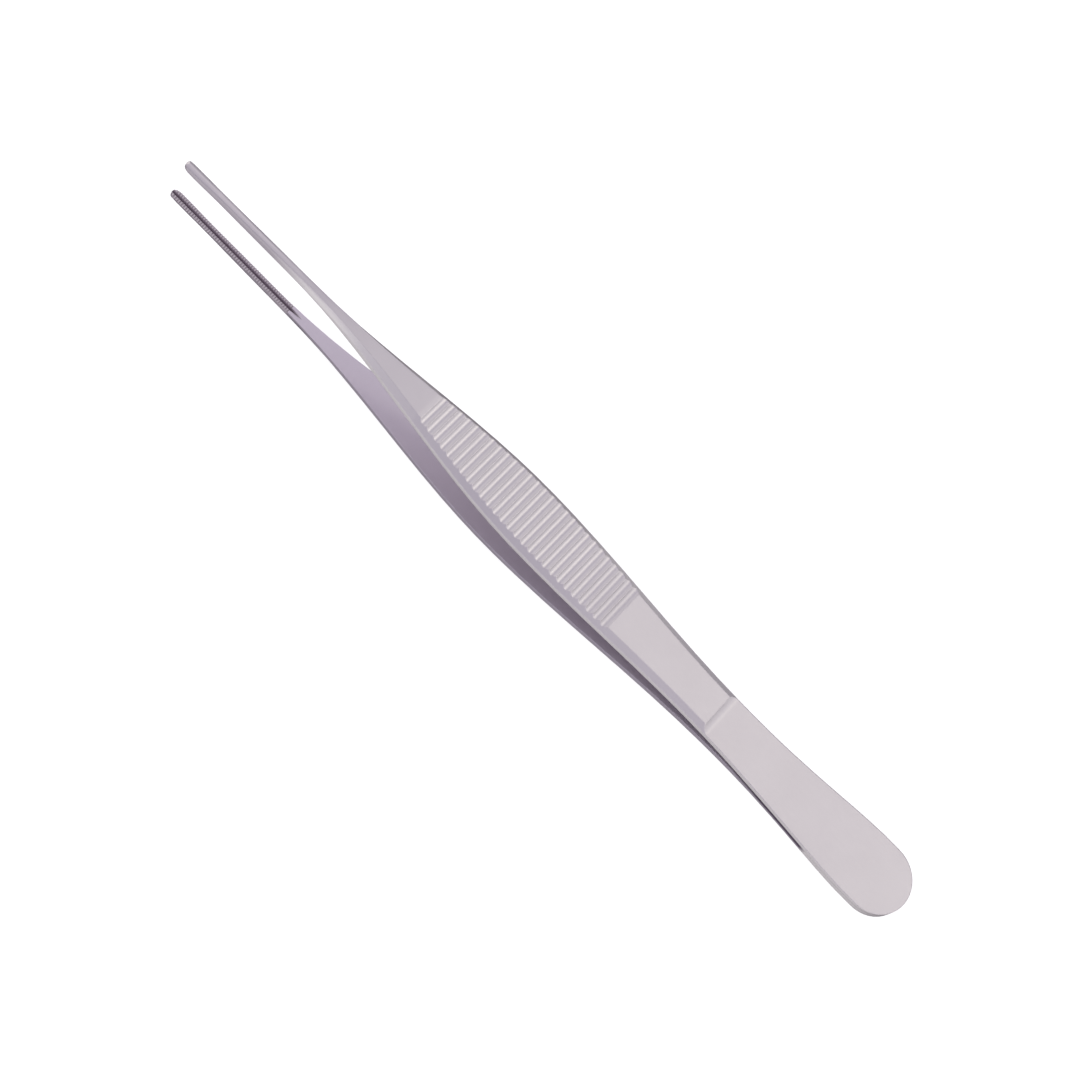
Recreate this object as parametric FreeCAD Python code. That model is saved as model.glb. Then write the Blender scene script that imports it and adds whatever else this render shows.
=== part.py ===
import FreeCAD, Part
import math
import os

V = FreeCAD.Vector

# Thumb forceps of the vascular tissue pattern: two sprung arms welded face to face at the butt.
# Each arm is drawn as the upper one: x runs from the butt end to the tip, y across, and z away
# from the mid-plane that the two arms mirror in. The lower arm is the mirror image, with its own
# jaw face. All sizes are in millimetres.

# Overall
length = 150.0
tip_opening = 9.26
sheet = 0.84

# Plan outline, as full widths and the places along the arm where they are reached
paddle_width = 11.3
paddle_widest_at = 9.0
waist_width = 7.86
grip_width = 10.6
grip_widest_at = 77.5
jaw_width = 1.42
jaw_length = 22.0
paddle_flank = 0.72

# Side profile: flat at the weld, one long straight spring, and jaws parallel to the mid-plane
spring_from = 25.0
jaw_bend_at = 122.7
bend_radius = 300.0

# Thickness of the arm at stations along it
shoulder_thickness = 1.40
grip_rear_thickness = 1.60
grip_thickness = 1.93
grip_front_thickness = 1.95
jaw_root_thickness = 1.50
tip_thickness = 0.95

# Shoulder, where a round cutter has thinned the arm to the sheet of the paddle
shoulder_at = 39.6
scoop_radius = 2.3

# Bevels along both sides of the outer face, which turn into the half-round back of the jaw
bevel_run = 1.03
bevel_fade = 2.3
rounding_from = 112.0
rounding_to = 131.0
jaw_land = 0.16
crown_share = 0.17

# Transverse flutes of the grip
flute_count = 27
flute_pitch = 1.5
flute_depth = 0.32
flute_ridge = 0.10
flutes_from = 59.7

# Jaw faces: two rows of fine teeth with a groove between them, and one row that fits the groove
tooth_pitch = 0.44
tooth_depth = 0.15
tooth_crest = 0.06
toothed_length = 24.5
groove_width = 0.455
groove_depth = 0.30
groove_runout = 2.3
ridge_clearance = 0.05
ridge_height = 0.18
ridge_root = 0.15

# Rounded end of each jaw: in plan, and over its back
tip_round = 0.95
tip_back_round = 0.55

# How far a cutter runs past what it cuts, and how closely lofts and curves follow their formulas
cutter_overrun = 0.5
shank_steps = 18
paddle_steps = 6


def ease(start, end, share):
    """A smooth step from start to end, level at both ends."""
    share = min(1.0, max(0.0, share))
    return end + (start - end) * 0.5 * (1.0 + math.cos(math.pi * share))


def through(stations, x):
    """A smooth curve through (place, value) stations, read at x."""
    places = [place for place, value in stations]
    values = [value for place, value in stations]
    if x <= places[0]:
        return values[0]
    if x >= places[-1]:
        return values[-1]
    slopes = []
    for i in range(len(stations)):
        before = max(0, i - 1)
        after = min(len(stations) - 1, i + 1)
        slopes.append((values[after] - values[before]) / (places[after] - places[before]))
    i = max(k for k in range(len(stations) - 1) if places[k] <= x)
    span = places[i + 1] - places[i]
    u = (x - places[i]) / span
    return (values[i] * (1 + 2 * u) * (1 - u) ** 2 + values[i + 1] * u * u * (3 - 2 * u)
            + span * slopes[i] * u * (1 - u) ** 2 - span * slopes[i + 1] * u * u * (1 - u))


def half_width(x):
    """Half the width of the plan outline."""
    jaw_root_at = length - jaw_length
    if x <= paddle_widest_at:
        return paddle_width / 2
    if x <= shoulder_at:
        share = (x - paddle_widest_at) / (shoulder_at - paddle_widest_at)
        return ease(paddle_width / 2, waist_width / 2, share ** paddle_flank)
    if x <= grip_widest_at:
        return ease(waist_width / 2, grip_width / 2, (x - shoulder_at) / (grip_widest_at - shoulder_at))
    return ease(grip_width / 2, jaw_width / 2, (x - grip_widest_at) / (jaw_root_at - grip_widest_at))


spring_angle = math.atan((tip_opening / 2) / (jaw_bend_at - spring_from))
bend_reach = bend_radius * math.tan(spring_angle / 2)


def inner(x):
    """Height of the inner face above the mid-plane: level, sloping, level, with tangent arcs."""
    if x <= spring_from - bend_reach:
        return 0.0
    if x <= spring_from + bend_reach * math.cos(spring_angle):
        run = x - (spring_from - bend_reach)
        return bend_radius - math.sqrt(bend_radius ** 2 - run ** 2)
    if x <= jaw_bend_at - bend_reach * math.cos(spring_angle):
        return (x - spring_from) * math.tan(spring_angle)
    if x <= jaw_bend_at + bend_reach:
        run = jaw_bend_at + bend_reach - x
        return tip_opening / 2 - bend_radius + math.sqrt(bend_radius ** 2 - run ** 2)
    return tip_opening / 2


def thickness(x):
    """Thickness of the arm at its middle."""
    stations = (
        (shoulder_at, shoulder_thickness),
        (flutes_from, grip_rear_thickness),
        (grip_widest_at, grip_thickness),
        (flutes_from + flute_count * flute_pitch, grip_front_thickness),
        (length - jaw_length, jaw_root_thickness),
        (length, tip_thickness),
    )
    return through(stations, x)


def face(x):
    """Height of the outer face above the mid-plane."""
    return inner(x) + thickness(x)


def line(*points):
    return Part.makePolygon([V(*point) for point in points])


def bezier(*points):
    curve = Part.BezierCurve()
    curve.setPoles([V(*point) for point in points])
    return curve.toShape()


def section(x):
    """Cross-section of the arm: flat inner face, side lands, bevels and outer face."""
    half = half_width(x)
    rounded = ease(0.0, 1.0, (x - rounding_from) / (rounding_to - rounding_from))
    land = sheet + (jaw_land - sheet) * rounded
    run = bevel_run * math.tanh(half / bevel_fade)
    crown = rounded * crown_share * half
    base = inner(x)
    top = base + thickness(x) - crown
    edge = half - run
    corner_y = (half + edge) / 2 + rounded * run / 2
    flat_z = (base + land + top) / 2
    round_z = top - 2 * crown * run / edge
    corner_z = flat_z + (round_z - flat_z) * rounded
    sides = [
        line((x, -half, base), (x, half, base)),
        line((x, half, base), (x, half, base + land)),
        bezier((x, half, base + land), (x, corner_y, corner_z), (x, edge, top)),
        bezier((x, edge, top), (x, 0, top + 2 * crown), (x, -edge, top)),
        bezier((x, -edge, top), (x, -corner_y, corner_z), (x, -half, base + land)),
        line((x, -half, base + land), (x, -half, base)),
    ]
    return Part.Wire([piece for side in sides for piece in side.Edges])


def scoop_bottom():
    """Place along the arm where the round cutter leaves the sheet of the paddle."""
    step = thickness(shoulder_at) - sheet
    return shoulder_at - math.sqrt(scoop_radius ** 2 - (scoop_radius - step) ** 2)


def outline_curve(start, end, side, steps):
    """The plan outline of one side from start to end, as a smooth curve."""
    places = [start + (end - start) * i / steps for i in range(steps + 1)]
    curve = Part.BSplineCurve()
    curve.interpolate([V(x, side * half_width(x), 0) for x in places])
    return curve.toShape()


def paddle():
    """The thin flat butt of the arm, with a full round end."""
    end = scoop_bottom()
    radius = paddle_width / 2
    outline = Part.Wire([
        Part.Arc(V(radius, -radius, 0), V(0, 0, 0), V(radius, radius, 0)).toShape(),
        Part.makeLine(V(radius, radius, 0), V(paddle_widest_at, radius, 0)),
        outline_curve(paddle_widest_at, end, 1, paddle_steps),
        Part.makeLine(V(end, half_width(end), 0), V(end, -half_width(end), 0)),
        outline_curve(end, paddle_widest_at, -1, paddle_steps),
        Part.makeLine(V(paddle_widest_at, -radius, 0), V(radius, -radius, 0)),
    ])
    plan = Part.Face(outline).extrude(V(0, 0, tip_opening))
    bend_start = spring_from - bend_reach
    bend_end = spring_from + bend_reach * math.cos(spring_angle)
    side = []
    for rise in (0.0, sheet):
        middle = (bend_start + bend_end) / 2
        bend = Part.Arc(V(bend_start, 0, rise), V(middle, 0, inner(middle) + rise),
                        V(bend_end, 0, inner(bend_end) + rise))
        side.append([
            Part.makeLine(V(0, 0, rise), V(bend_start, 0, rise)),
            bend.toShape(),
            Part.makeLine(V(bend_end, 0, inner(bend_end) + rise), V(end, 0, inner(end) + rise)),
        ])
    low, high = side
    close_front = Part.makeLine(V(end, 0, inner(end)), V(end, 0, inner(end) + sheet))
    close_back = Part.makeLine(V(0, 0, sheet), V(0, 0, 0))
    profile = Part.Wire(low + [close_front] + high[::-1] + [close_back])
    band = Part.Face(profile)
    band.translate(V(0, -paddle_width, 0))
    return plan.common(band.extrude(V(0, 2 * paddle_width, 0)))


def shank():
    """The stiff length of the arm, from the shoulder to the tip."""
    start = scoop_bottom()
    places = [start + (length - start) * i / shank_steps for i in range(shank_steps + 1)]
    return Part.makeLoft([section(x) for x in places], True, False)


def flutes():
    """The round grooves that are cut straight across the grip."""
    half_chord = (flute_pitch - flute_ridge) / 2
    radius = (half_chord ** 2 + flute_depth ** 2) / (2 * flute_depth)
    cuts = []
    for i in range(flute_count):
        x = flutes_from + (i + 0.5) * flute_pitch
        start = V(x, -grip_width, face(x) - flute_depth + radius)
        cuts.append(Part.makeCylinder(radius, 2 * grip_width, start, V(0, 1, 0)))
    return cuts


def scoop():
    """The round cutter that makes the shoulder."""
    x = scoop_bottom()
    start = V(x, -paddle_width, inner(x) + sheet + scoop_radius)
    return Part.makeCylinder(scoop_radius, 2 * paddle_width, start, V(0, 1, 0))


def tip_waste():
    """What is taken off the end of the jaw to round it in plan and over its back."""
    half = jaw_width / 2
    clear = jaw_width
    start = length - tip_round
    nose = Part.ArcOfEllipse(Part.Ellipse(V(start, 0, 0), tip_round, half), -math.pi / 2, math.pi / 2)
    plan = Part.Wire([nose.toShape()] + line(
        (start, half, 0), (start, clear, 0), (length + clear, clear, 0),
        (length + clear, -clear, 0), (start, -clear, 0), (start, -half, 0)).Edges)
    back = inner(length) + tip_thickness
    bend = length - tip_back_round
    lean = tip_back_round * (1 - math.cos(math.pi / 4))
    arch = Part.Arc(V(bend, -clear, back), V(length - lean, -clear, back - lean),
                    V(length, -clear, back - tip_back_round))
    over = Part.Wire([arch.toShape()] + line(
        (length, -clear, back - tip_back_round), (length + clear, -clear, back - tip_back_round),
        (length + clear, -clear, back + clear), (bend, -clear, back + clear), (bend, -clear, back)).Edges)
    return [Part.Face(plan).extrude(V(0, 0, 2 * tip_opening)), Part.Face(over).extrude(V(0, 2 * clear, 0))]


tooth_count = round(toothed_length / tooth_pitch)
teeth_rear = length - tooth_count * tooth_pitch


def tooth_row(valley, crest, behind, half):
    """A bar with teeth along one side. Heights are measured from the inner face of the jaw."""
    rear = teeth_rear
    points = [V(rear, -half, inner(rear) + behind)]
    for i in range(tooth_count):
        x = rear + i * tooth_pitch
        middle = x + tooth_pitch / 2
        points.append(V(x, -half, inner(x) + crest))
        points.append(V(middle, -half, inner(middle) + valley))
    points.append(V(length, -half, inner(length) + crest))
    points.append(V(length, -half, inner(length) + behind))
    points.append(points[0])
    return Part.Face(Part.makePolygon(points)).extrude(V(0, 2 * half, 0))


def vee(x, width, apex, open_side):
    """Triangle across the jaw, as wide as given where it meets the inner face."""
    base = inner(length)
    half = width / 2 * (1 - open_side / apex)
    return line((x, -half, base + open_side), (x, half, base + open_side), (x, 0, base + apex),
                (x, -half, base + open_side))


def double_row(arm):
    """The jaw with two rows of teeth, and the groove that runs out to a point behind them."""
    crest = -tooth_depth * tooth_crest / (tooth_pitch - tooth_crest)
    comb = tooth_row(tooth_depth, crest, -groove_depth, jaw_width)
    point = teeth_rear - groove_runout
    climb = (inner(length) + groove_depth - inner(point)) / groove_runout
    end = Part.Vertex(V(point - cutter_overrun, 0, inner(point) - cutter_overrun * climb))
    outside = -groove_depth / 2
    sections = [end, vee(teeth_rear, groove_width, groove_depth, outside),
                vee(length + cutter_overrun, groove_width, groove_depth, outside)]
    groove = Part.makeLoft(sections, True, True)
    return arm.cut([comb, groove])


def single_row(arm):
    """The jaw with one row of teeth, which stands in the groove when the jaws close."""
    width = groove_width - 2 * ridge_clearance
    apex = -groove_depth * width / groove_width
    ends = [vee(x, width, apex, ridge_root) for x in (teeth_rear, length)]
    teeth = tooth_row(tooth_depth - ridge_height, -ridge_height, ridge_root, jaw_width)
    return arm.fuse(Part.makeLoft(ends, True, True).common(teeth))


def arm(jaw_face):
    """One arm, as the upper one."""
    bar = shank().cut([scoop()] + flutes())
    return jaw_face(bar.fuse(paddle())).cut(tip_waste())


def rest_angle():
    """How far the mid-plane leans when the lower arm lies on its butt end and its grip."""
    ridges = [flutes_from + i * flute_pitch for i in range(flute_count + 1)]
    return math.atan(max((face(x) - sheet) / x for x in ridges))


def one_solid(shape):
    """The only solid of a finished arm. A shape with more or fewer solids is an error."""
    solid, = shape.Solids
    return solid


pieces = {
    "single_row_arm": one_solid(arm(single_row)),
    "double_row_arm": one_solid(arm(double_row).mirror(V(0, 0, 0), V(0, 0, 1))),
}
for piece in pieces.values():
    piece.rotate(V(0, 0, 0), V(0, 1, 0), -math.degrees(rest_angle()))

# The origin is under the middle of the forceps, on the surface that they lie on.
box = Part.Compound(list(pieces.values())).optimalBoundingBox()
os.makedirs("parts", exist_ok=True)
for name, piece in pieces.items():
    piece.translate(V(-box.Center.x, -box.Center.y, -box.ZMin))
    piece.exportStep("parts/" + name + ".step")
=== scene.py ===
import bpy
import math
from mathutils import Matrix, Vector

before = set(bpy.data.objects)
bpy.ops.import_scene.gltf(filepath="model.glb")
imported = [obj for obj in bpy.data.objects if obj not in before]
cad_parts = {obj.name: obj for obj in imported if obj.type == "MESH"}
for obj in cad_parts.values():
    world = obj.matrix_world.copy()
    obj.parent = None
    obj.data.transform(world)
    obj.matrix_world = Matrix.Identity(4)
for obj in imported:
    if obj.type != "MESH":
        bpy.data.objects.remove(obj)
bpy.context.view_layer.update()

# Camera, in metres and degrees. It looks down on the forceps from their near side.
photo_distance = 0.400
photo_azimuth = 92.10
photo_elevation = 63.99
photo_roll = 42.11
photo_angle = 22.33
photo_aim = Vector((0.00044, -0.00004, 0.00439))
nearest_seen = photo_distance / 100

# Floor, in metres. Its glow shows to the camera and in reflections only.
floor_size = 60.0
floor_color = (0.50, 0.50, 0.50, 1)
floor_roughness = 0.9
floor_glow = 0.76
glow_color = (1, 1, 1, 1)

# Light: a pale sky, brighter beyond both ends of the forceps and dark low on the far side,
# and two soft lamps. The flat faces mirror the first lamp, and the fillet at the shoulder the second.
sky_pale = (0.59, 0.55, 0.67, 1)
sky_ends = (1.10, 1.06, 1.12, 1)
sky_dark = (0.12, 0.10, 0.14, 1)
sky_ends_from = 0.12
sky_ends_to = 0.80
sky_lean = (0.0, 0.60, 0.80)
sky_dark_below = -0.50
sky_pale_above = 0.05
lamp_size = 0.30
lamp_distance = 1.0
lamp_color = (1.00, 0.99, 0.82)
face_lamp = Vector((-0.16, -0.44, 0.88))
face_lamp_power = 0.235
fillet_lamp = Vector((-0.46, -0.42, 0.78))
fillet_lamp_power = 0.34

# Colours of the satin steel, and the painted light and shade on it
steel_color = (0.645, 0.622, 0.622, 1)
steel_shade = (0.605, 0.582, 0.582, 1)
# Painted light: the inner faces are lighter and more lavender than the steel, for light reaching into the
# gap between the arms
inner_painted_light_color = (0.67, 0.625, 0.675, 1)
# Painted highlight along the crest of the jaw's back, and painted shade at both its edges
jaw_crest_painted_highlight = (0.74, 0.71, 0.69, 1)
jaw_edge_painted_shade = (0.38, 0.35, 0.38, 1)
# Painted shade in the groove between the rows of teeth
groove_painted_shade = (0.32, 0.27, 0.31, 1)
# Painted shade over the toothed jaw, for the shade among the teeth
teeth_painted_shade = (0.52, 0.48, 0.51, 1)
# Painted shade on the lower arm's sides past the weld
lower_side_painted_shade = (0.38, 0.35, 0.39, 1)
# Painted shade along the seam, where the gap between the arms is dark
seam_painted_shade = (0.13, 0.11, 0.14, 1)
edge_tint = (0.05, 0.04, 0.06, 1)

# Texture of the satin steel. Scales are per metre, heights and radii in metres.
mottle_scale = 160.0
mottle_detail = 4.0
grain_scale = 9000.0
grain_detail = 2.0
grain_height = 0.00001
grain_strength = 0.25
brush_along = 220.0
brush_across = 9000.0
brush_detail = 3.0
roughness_low = 0.38
roughness_high = 0.46
inner_roughness = 0.52
flute_roughness = 0.35
edge_round = 0.00024

# Places along the forceps and across them, in metres, for the finishes and the painted light and shade that
# change along the steel
flutes_rear = -0.0155
flutes_front = 0.0255
groove_rear = 0.0485
teeth_rear = 0.0506
jaw_back_rear = 0.0490
jaw_back_full = 0.0570
groove_half_width = 0.00019
finish_and_shade_fade = 0.00012
polish_fade = 0.010

# Which way a surface faces, for the finishes and the painted light and shade that go by it: where each
# starts and where it is full.
# Sideways goes from 0 to 1, and inwards from -1 on the outer side to 1 towards the other arm.
square_on = (0.80, 0.90)
# Where the painted highlight and painted shade on the jaw's back start and are full, by facing
jaw_back_inwards = (0.20, -0.10)
jaw_crest_sideways = (0.45, 0.05)
jaw_edge_sideways = (0.60, 1.00)

# Middle plane between the arms, and the painted shade along their seam where the gap between them is dark,
# in metres
middle_point = Vector((-0.0660255, 0.0, 0.001262))
middle_normal = Vector((-0.046953, 0.0, 0.998897))
seam_rear = -0.0590
seam_fade = 0.0012
seam_thins_from = -0.0490
seam_front = -0.0410
upper_seam_shade_width = 0.00010
lower_seam_shade_width = 0.00042

# A Mix node's sockets share their names, so they are found by number: factor, low, high and result
mix_sockets = {"RGBA": (0, 6, 7, 2), "FLOAT": (0, 2, 3, 0)}


def feed(tree, socket, value):
    """Gives a socket a fixed value, or links another socket to it."""
    if isinstance(value, bpy.types.NodeSocket):
        tree.links.new(value, socket)
    else:
        socket.default_value = value


def node(tree, kind, **settings):
    """A shader node, with its properties and sockets set by name."""
    made = tree.nodes.new(kind)
    for name, value in settings.items():
        if hasattr(made, name):
            setattr(made, name, value)
        else:
            feed(tree, made.inputs[name.replace("_", " ")], value)
    return made


def ramp(tree, value, start, end):
    """0 at start and 1 at end, and no further beyond them. Start may be the larger one."""
    made = node(tree, "ShaderNodeMapRange", clamp=True, Value=value, From_Min=start, From_Max=end)
    return made.outputs["Result"]


def maths(tree, operation, *values):
    """A Math node on sockets or numbers."""
    made = node(tree, "ShaderNodeMath", operation=operation)
    for socket, value in zip(made.inputs, values):
        feed(tree, socket, value)
    return made.outputs["Value"]


def both(tree, first, second):
    """1 where two masks are 1, and 0 where either is 0."""
    return maths(tree, "MULTIPLY", first, second)


def blend(tree, factor, low, high, kind="RGBA"):
    """A colour or a number between two others, each a socket or fixed."""
    made = node(tree, "ShaderNodeMix", data_type=kind)
    *sockets, result = mix_sockets[kind]
    for socket, value in zip(sockets, (factor, low, high)):
        feed(tree, made.inputs[socket], value)
    return made.outputs[result]


def noise(tree, vector, detail, scale=1.0):
    """The value of a noise texture."""
    return node(tree, "ShaderNodeTexNoise", Vector=vector, Detail=detail, Scale=scale).outputs["Fac"]


def reach(tree, vector, direction):
    """How far a vector reaches along a fixed direction."""
    made = node(tree, "ShaderNodeVectorMath", operation="DOT_PRODUCT")
    feed(tree, made.inputs[0], vector)
    feed(tree, made.inputs[1], direction)
    return made.outputs["Value"]


def surface(tree, toothed):
    """Where a point of an arm is and which way it faces, by name."""
    coordinates = tree.nodes.new("ShaderNodeTexCoord")
    place = node(tree, "ShaderNodeSeparateXYZ", Vector=coordinates.outputs["Object"])
    facing = node(tree, "ShaderNodeSeparateXYZ", Vector=coordinates.outputs["Normal"])
    up = facing.outputs["Z"]
    inwards = up if toothed else maths(tree, "MULTIPLY", up, -1.0)
    return {
        "place": coordinates.outputs["Object"],
        "along": place.outputs["X"],
        "across": place.outputs["Y"],
        "inwards": inwards,
        "sideways": maths(tree, "ABSOLUTE", facing.outputs["Y"]),
        "inner": ramp(tree, inwards, *square_on),
        "past_weld": ramp(tree, place.outputs["X"], seam_rear, seam_rear + seam_fade),
    }


def seam_shade_mask(tree, at, width):
    """1 within a width of the middle plane, from the end of the weld to where the gap shows: where shade is
    painted in the seam between the arms.
    """
    above = maths(tree, "SUBTRACT", reach(tree, at["place"], middle_normal), middle_point.dot(middle_normal))
    near = ramp(tree, maths(tree, "ABSOLUTE", above), width + finish_and_shade_fade, width)
    near = both(tree, near, ramp(tree, at["along"], seam_front, seam_thins_from))
    return both(tree, near, at["past_weld"])


def toothed_painted_shade(tree, at, color):
    """Painted shade on the lower arm: its darker sides, its darker toothed jaw and the dark groove between
    the teeth.
    """
    side = both(tree, ramp(tree, at["sideways"], *square_on), at["past_weld"])
    teeth = ramp(tree, at["along"], teeth_rear - finish_and_shade_fade, teeth_rear)
    off_middle = maths(tree, "ABSOLUTE", at["across"])
    middle = ramp(tree, off_middle, groove_half_width + finish_and_shade_fade, groove_half_width)
    groove = both(tree, ramp(tree, at["along"], groove_rear, teeth_rear), middle)
    # Painted shade on the sides
    color = blend(tree, side, color, lower_side_painted_shade)
    # Painted shade on the toothed jaw
    color = blend(tree, teeth, color, teeth_painted_shade)
    # Painted shade in the groove
    return blend(tree, groove, color, groove_painted_shade)


def jaw_back_painted_light(tree, at, color):
    """The jaw's rounded back, with a painted highlight along its crest and painted shade at both edges."""
    back = ramp(tree, at["along"], jaw_back_rear, jaw_back_full)
    back = both(tree, back, ramp(tree, at["inwards"], *jaw_back_inwards))
    crest = both(tree, back, ramp(tree, at["sideways"], *jaw_crest_sideways))
    edge = both(tree, back, ramp(tree, at["sideways"], *jaw_edge_sideways))
    # Painted highlight on the crest, then painted shade on the edges
    color = blend(tree, crest, color, jaw_crest_painted_highlight)
    return blend(tree, edge, color, jaw_edge_painted_shade)


def arm_color_and_painted_light(tree, at, toothed):
    """Faintly mottled steel, with painted light on the inner face, a painted highlight and painted shade on
    the jaw, and painted shade on the lower arm and along the seam.
    """
    mottle = noise(tree, at["place"], mottle_detail, mottle_scale)
    color = blend(tree, mottle, steel_shade, steel_color)
    # Painted light on the inner faces
    color = blend(tree, at["inner"], color, inner_painted_light_color)
    if toothed:
        # Painted shade on the lower arm's sides, teeth and groove
        color = toothed_painted_shade(tree, at, color)
    # Painted highlight and painted shade on the jaw's back
    color = jaw_back_painted_light(tree, at, color)
    # Painted shade along the seam between the arms
    seam = seam_shade_mask(tree, at, lower_seam_shade_width if toothed else upper_seam_shade_width)
    return blend(tree, seam, color, seam_painted_shade)


def arm_roughness(tree, at):
    """Fine brushing along the arm, smoother over the fluted grip and rougher on the inner face."""
    brush_scale = (brush_along, brush_across, brush_across)
    stretch = node(tree, "ShaderNodeMapping", Vector=at["place"], Scale=brush_scale)
    brush = noise(tree, stretch.outputs["Vector"], brush_detail)
    rough = node(tree, "ShaderNodeMapRange", Value=brush, To_Min=roughness_low, To_Max=roughness_high)
    front = ramp(tree, at["along"], flutes_front + finish_and_shade_fade, flutes_front)
    grip = both(tree, ramp(tree, at["along"], flutes_rear, flutes_rear + polish_fade), front)
    finish = blend(tree, grip, rough.outputs["Result"], flute_roughness, "FLOAT")
    return blend(tree, at["inner"], finish, inner_roughness, "FLOAT")


def arm_normal(tree, at):
    """Fine grain, on edges that shade as rounded from the butt to the grip and sharp at the jaws."""
    rounded = ramp(tree, at["along"], groove_rear, flutes_front)
    soft_edge = node(tree, "ShaderNodeBevel", Radius=maths(tree, "MULTIPLY", rounded, edge_round))
    grain = noise(tree, at["place"], grain_detail, grain_scale)
    bump = node(tree, "ShaderNodeBump", Strength=grain_strength, Distance=grain_height, Height=grain)
    feed(tree, bump.inputs["Normal"], soft_edge.outputs["Normal"])
    return bump.outputs["Normal"]


def satin_steel(toothed):
    """Finely blasted stainless steel for one arm, with painted light and shade; toothed for the lower one,
    whose teeth show and get painted shade.
    """
    material = bpy.data.materials.new("satin_steel")
    material.use_nodes = True
    tree = material.node_tree
    shader = tree.nodes["Principled BSDF"]
    shader.inputs["Metallic"].default_value = 1.0
    shader.inputs["Specular Tint"].default_value = edge_tint
    at = surface(tree, toothed)
    feed(tree, shader.inputs["Base Color"], arm_color_and_painted_light(tree, at, toothed))
    feed(tree, shader.inputs["Roughness"], arm_roughness(tree, at))
    feed(tree, shader.inputs["Normal"], arm_normal(tree, at))
    return material


def dress_arms():
    """Both forged arms get the satin steel."""
    for name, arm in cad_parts.items():
        arm.data.materials.clear()
        arm.data.materials.append(satin_steel(name == "double_row_arm"))


def floor():
    """A plain surface that the forceps lie on, which its glow makes look white."""
    half = floor_size / 2
    corners = [(-half, -half, 0), (half, -half, 0), (half, half, 0), (-half, half, 0)]
    mesh = bpy.data.meshes.new("floor")
    mesh.from_pydata(corners, [], [(0, 1, 2, 3)])
    made = bpy.data.objects.new("floor", mesh)
    bpy.context.scene.collection.objects.link(made)
    material = bpy.data.materials.new("floor_white")
    material.use_nodes = True
    tree = material.node_tree
    shader = tree.nodes["Principled BSDF"]
    shader.inputs["Base Color"].default_value = floor_color
    shader.inputs["Roughness"].default_value = floor_roughness
    shader.inputs["Specular IOR Level"].default_value = 0.0
    shader.inputs["Emission Color"].default_value = glow_color
    path = tree.nodes.new("ShaderNodeLightPath")
    seen = maths(tree, "MAXIMUM", path.outputs["Is Camera Ray"], path.outputs["Is Glossy Ray"])
    seen = maths(tree, "MAXIMUM", seen, path.outputs["Is Transmission Ray"])
    feed(tree, shader.inputs["Emission Strength"], maths(tree, "MULTIPLY", seen, floor_glow))
    mesh.materials.append(material)


def sky():
    """Soft light from all round, brighter beyond the ends and darkest low on the far side."""
    world = bpy.data.worlds.new("sky")
    world.use_nodes = True
    bpy.context.scene.world = world
    tree = world.node_tree
    direction = tree.nodes.new("ShaderNodeTexCoord").outputs["Generated"]
    split = node(tree, "ShaderNodeSeparateXYZ", Vector=direction)
    ends = ramp(tree, maths(tree, "ABSOLUTE", split.outputs["X"]), sky_ends_from, sky_ends_to)
    height = ramp(tree, reach(tree, direction, sky_lean), sky_dark_below, sky_pale_above)
    pale = blend(tree, ends, sky_pale, sky_ends)
    feed(tree, tree.nodes["Background"].inputs["Color"], blend(tree, height, sky_dark, pale))


def lamp(name, direction, power):
    """A soft round lamp that shines on the forceps from one direction."""
    light = bpy.data.lights.new(name, "AREA")
    light.shape = "DISK"
    light.size = lamp_size
    light.color = lamp_color
    light.energy = power
    made = bpy.data.objects.new(name, light)
    made.location = direction.normalized() * lamp_distance
    made.rotation_euler = direction.to_track_quat("Z", "Y").to_euler()
    bpy.context.scene.collection.objects.link(made)


def camera():
    """The photograph's view."""
    made = bpy.data.objects.new("camera", bpy.data.cameras.new("camera"))
    bpy.context.scene.collection.objects.link(made)
    made.data.angle = math.radians(photo_angle)
    made.data.clip_start = nearest_seen
    turn = math.radians(photo_azimuth)
    rise = math.radians(photo_elevation)
    away = Vector((math.cos(rise) * math.cos(turn), math.cos(rise) * math.sin(turn), math.sin(rise)))
    facing = away.to_track_quat("Z", "Y").to_matrix()
    rolled = facing @ Matrix.Rotation(math.radians(photo_roll), 3, "Z")
    made.matrix_world = Matrix.Translation(photo_aim + away * photo_distance) @ rolled.to_4x4()
    bpy.context.scene.camera = made


bpy.context.scene.view_settings.view_transform = "Standard"
camera()
sky()
lamp("face_lamp", face_lamp, face_lamp_power)
lamp("fillet_lamp", fillet_lamp, fillet_lamp_power)
floor()
dress_arms()
